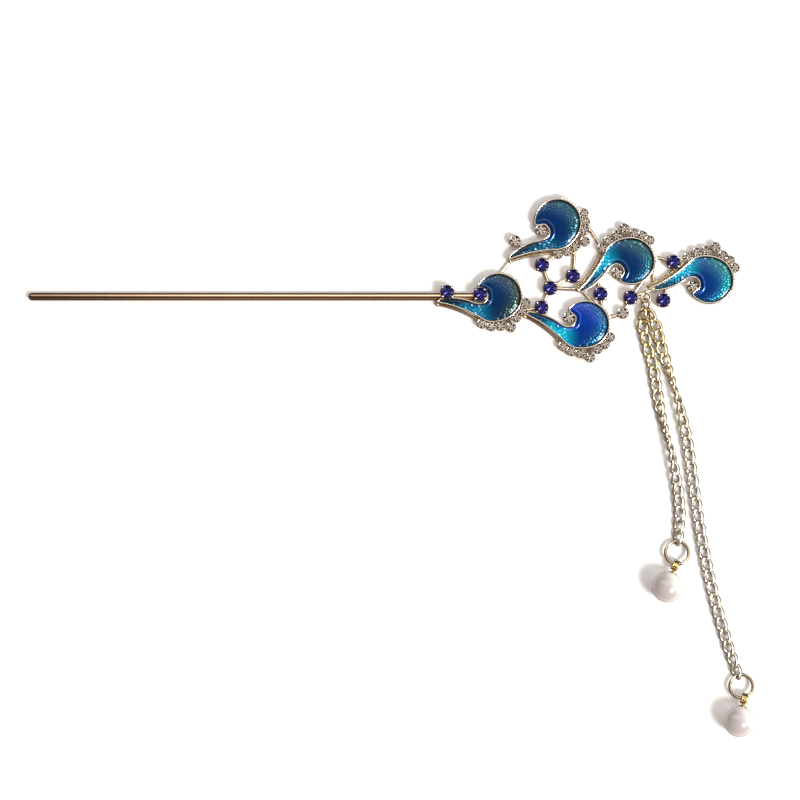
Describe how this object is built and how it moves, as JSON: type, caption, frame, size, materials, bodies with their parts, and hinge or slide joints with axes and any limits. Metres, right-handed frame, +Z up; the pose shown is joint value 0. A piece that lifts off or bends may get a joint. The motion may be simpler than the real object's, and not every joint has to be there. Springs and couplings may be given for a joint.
{
  "type": "buyao hairpin",
  "caption": "Long round hairpin topped by a spray of enamelled waves set with blue and clear stones, with chains that each end in a ring and a pearl drop.",
  "frame": {"origin": "under the middle of the whole piece as it lies, on the surface that it lies on", "axes": "+X from the tip of the pin to the spray, +Y across the spray away from the chains, +Z up from the surface"},
  "size_m": [0.1884, 0.14, 0.008],
  "materials": {
    "gold": "polished",
    "chain_gold": "polished",
    "teal_enamel": "gloss",
    "blue_enamel": "gloss",
    "blue_stone": "polished",
    "clear_stone": "polished",
    "pearl": "gloss"
  },
  "bodies": {
    "root": {"frame": "gold", "enamel_pin": "teal_enamel", "enamel_top": "teal_enamel", "enamel_mid": "teal_enamel", "enamel_end": "teal_enamel", "enamel_low": "blue_enamel", "trim_pin": "clear_stone", "trim_top": "clear_stone", "trim_mid": "clear_stone", "trim_end": "clear_stone", "trim_low": "clear_stone", "blue_notch": "blue_stone", "blue_pin": "blue_stone", "blue_upper": "blue_stone", "blue_fork": "blue_stone", "blue_branch": "blue_stone", "blue_low_tail": "blue_stone", "blue_mid_tail": "blue_stone", "blue_eye": "blue_stone", "blue_end_tail": "blue_stone", "blue_bridge": "blue_stone", "clear_top_notch": "clear_stone", "clear_top_tail": "clear_stone", "clear_mid_notch": "clear_stone", "clear_end_notch": "clear_stone", "clear_low_notch": "clear_stone", "clear_low_stem": "clear_stone", "jump_ring": "chain_gold", "chain_short": "chain_gold", "chain_long": "chain_gold", "ring_short": "chain_gold", "ring_long": "chain_gold", "cap_short": "chain_gold", "cap_long": "chain_gold", "pearl_short": "pearl", "pearl_long": "pearl"}
  },
  "joints": []
}
